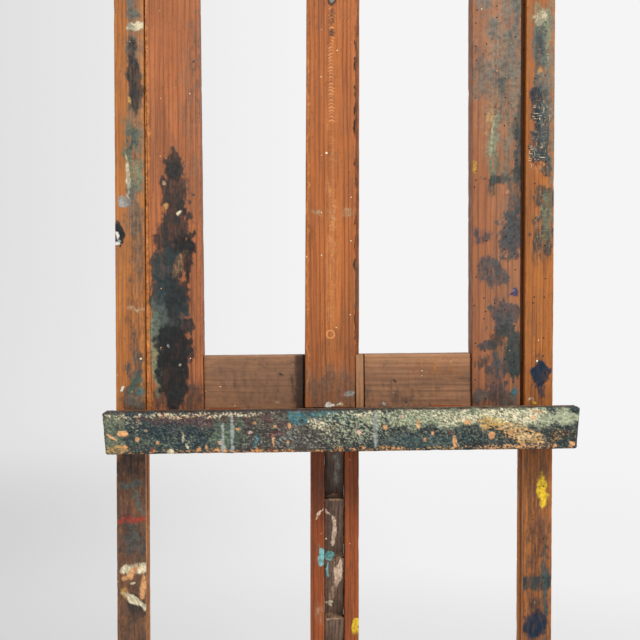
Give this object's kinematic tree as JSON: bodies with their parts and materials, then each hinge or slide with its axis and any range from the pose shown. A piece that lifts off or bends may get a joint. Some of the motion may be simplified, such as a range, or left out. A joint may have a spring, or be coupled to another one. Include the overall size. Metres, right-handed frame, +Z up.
{
  "type": "studio easel",
  "caption": "Floor-standing wooden studio easel: grooved stiles on runner feet, an inner frame with a canvas tray that climbs a toothed rack, and a sliding mast with an upper clamp.",
  "frame": {"origin": "on the floor, under the middle of the box round the whole easel", "axes": "+X to the right as the painter stands, -Y is the front, where the canvas stands, +Z up"},
  "size_m": [0.5346, 0.6, 1.89],
  "materials": {
    "stile_wood": "old orange-brown pine, waxed by handling, spattered with dried oil paint",
    "board_wood": "old pine boards with charcoal and green oil paint wiped across them",
    "mast_wood": "straight-grained old pine with a rubbed line down its middle",
    "rail_wood": "greyed brown pine, dull from handling",
    "post_wood": "reddish brown stained hardwood, satin",
    "rack_wood": "nearly black oiled hardwood, worn at the noses",
    "block_wood": "brown hardwood with worn arrises",
    "tray_paint": "timber under a thick crust of dried oil paint, charcoal, teal and cream",
    "steel": "dull grey steel with brown rust in its corners",
    "brass": "tarnished brass, bright on its worn edges",
    "rubber": "hard black rubber, dusty"
  },
  "bodies": {
    "stand": {"foot_left": "rail_wood", "foot_right": "rail_wood", "stile_left": "stile_wood", "stile_right": "stile_wood", "stile_peg_left": "post_wood", "stile_peg_right": "post_wood", "brace_left": "rail_wood", "brace_right": "rail_wood", "brace_screw_left": "steel", "brace_screw_right": "steel", "foot_bolt_left": "steel", "foot_bolt_right": "steel", "foot_wing_nut_left": "steel", "foot_wing_nut_right": "steel", "head_bolt_left": "steel", "head_bolt_right": "steel", "head_wing_nut_left": "steel", "head_wing_nut_right": "steel", "foot_pad_front_left": "rubber", "foot_pad_front_right": "rubber", "foot_pad_rear_left": "rubber", "foot_pad_rear_right": "rubber", "rear_stretcher": "rail_wood", "bottom_rail": "rail_wood", "head_rail": "rail_wood", "rack_cheek_left": "post_wood", "rack_cheek_right": "post_wood", "rack": "rack_wood", "post_spacer": "post_wood", "post_dowel_lower": "post_wood", "post_dowel_upper": "post_wood", "post_bolt_lower": "steel", "post_bolt_upper": "steel"},
    "carriage": {"board_left": "board_wood", "board_right": "board_wood", "crossbar": "rail_wood", "keeper_strip": "mast_wood", "top_rail": "rail_wood", "mast_bridge": "block_wood", "bridge_screw_left": "brass", "bridge_screw_right": "brass", "tray": "tray_paint", "tray_bearer_left": "block_wood", "tray_bearer_right": "block_wood", "tray_bolt_left": "steel", "tray_bolt_right": "steel", "pawl_pin": "steel", "pawl_spring": "steel"},
    "pawl": {"pawl": "steel"},
    "mast": {"mast": "mast_wood"},
    "clamp": {"clamp_block": "block_wood", "clamp_strap": "steel", "clamp_strap_screw_left": "steel", "clamp_strap_screw_right": "steel"},
    "mast_lock": {"mast_lock_screw": "brass"},
    "clamp_lock": {"clamp_lock_screw": "brass"}
  },
  "joints": [
    {"name": "carriage_slide", "type": "slide", "parent": "stand", "child": "carriage", "axis": [0, 0, 1], "range_m": [-0.204, 0.204]},
    {"name": "pawl_swing", "type": "hinge", "parent": "carriage", "child": "pawl", "pos_m": [0, 0.003, 0.784], "axis": [-1, 0, 0], "range_deg": [0, 25], "stiffness_Nm_per_rad": 0.02, "springref_deg": -22.92},
    {"name": "mast_slide", "type": "slide", "parent": "carriage", "child": "mast", "axis": [0, 0, 1], "range_m": [0, 0.53]},
    {"name": "clamp_slide", "type": "slide", "parent": "mast", "child": "clamp", "axis": [0, 0, 1], "range_m": [-0.19, 0.15]},
    {"name": "mast_lock_turn", "type": "hinge", "parent": "carriage", "child": "mast_lock", "pos_m": [-0.004, -0.034, 1.402], "axis": [0, 1, 0], "continuous": true},
    {"name": "clamp_lock_turn", "type": "hinge", "parent": "clamp", "child": "clamp_lock", "pos_m": [-0.004, -0.034, 1.708], "axis": [0, 1, 0], "continuous": true}
  ]
}
